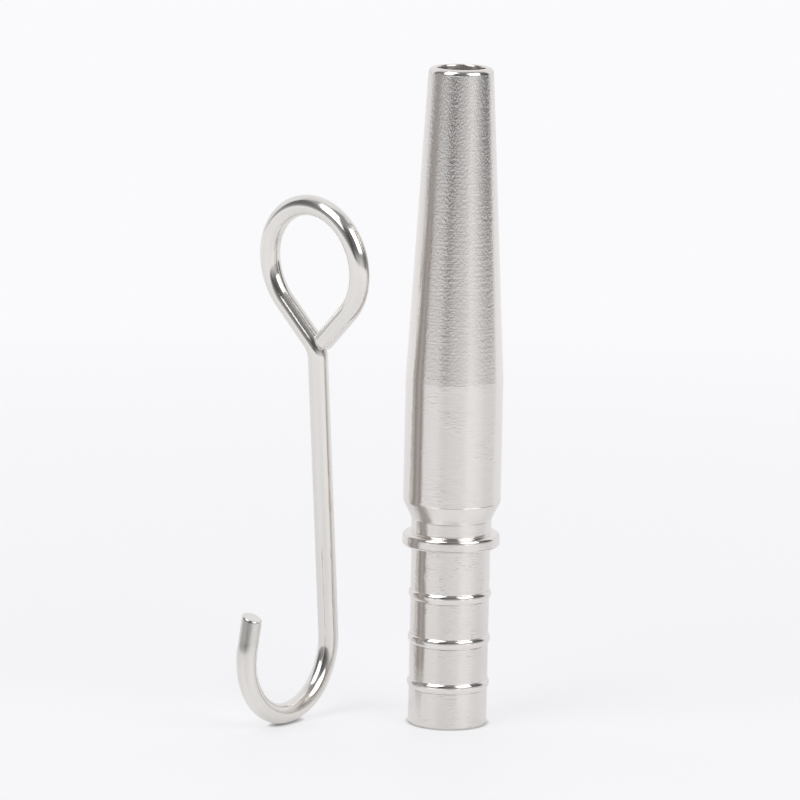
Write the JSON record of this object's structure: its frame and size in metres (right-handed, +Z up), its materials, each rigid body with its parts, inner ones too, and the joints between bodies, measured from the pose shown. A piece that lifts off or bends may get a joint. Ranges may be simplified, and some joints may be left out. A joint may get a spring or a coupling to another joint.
{
  "type": "sap spile",
  "caption": "Turned steel sap spile with a tapered nose, straight bore, collar and ridged hose tail, standing beside its bent wire bucket hook with a closed eye and a J.",
  "frame": {"origin": "on the spile's axis at the end face of the hose tail, which is the face that the spile stands on", "axes": "+Z up along the spile's axis from the hose tail to the nose's tip, +Y away from the viewer, +X to the right; the hook stands on the -X side"},
  "size_m": [0.0319, 0.0161, 0.0815],
  "materials": {
    "turned_steel": "lathe-turned stainless steel: satin barrel, neck and tail, brushed nose, polished tip rim, collar edge and ridges",
    "bright_wire": "bright drawn stainless steel wire with fine lengthwise draw lines"
  },
  "bodies": {
    "spile": {"spile": "turned_steel"},
    "hook": {"hook": "bright_wire"}
  },
  "joints": [
    {"name": "hook_lift", "type": "slide", "parent": "spile", "child": "hook", "axis": [0, 0, 1], "range_m": [0, 0.09]}
  ]
}
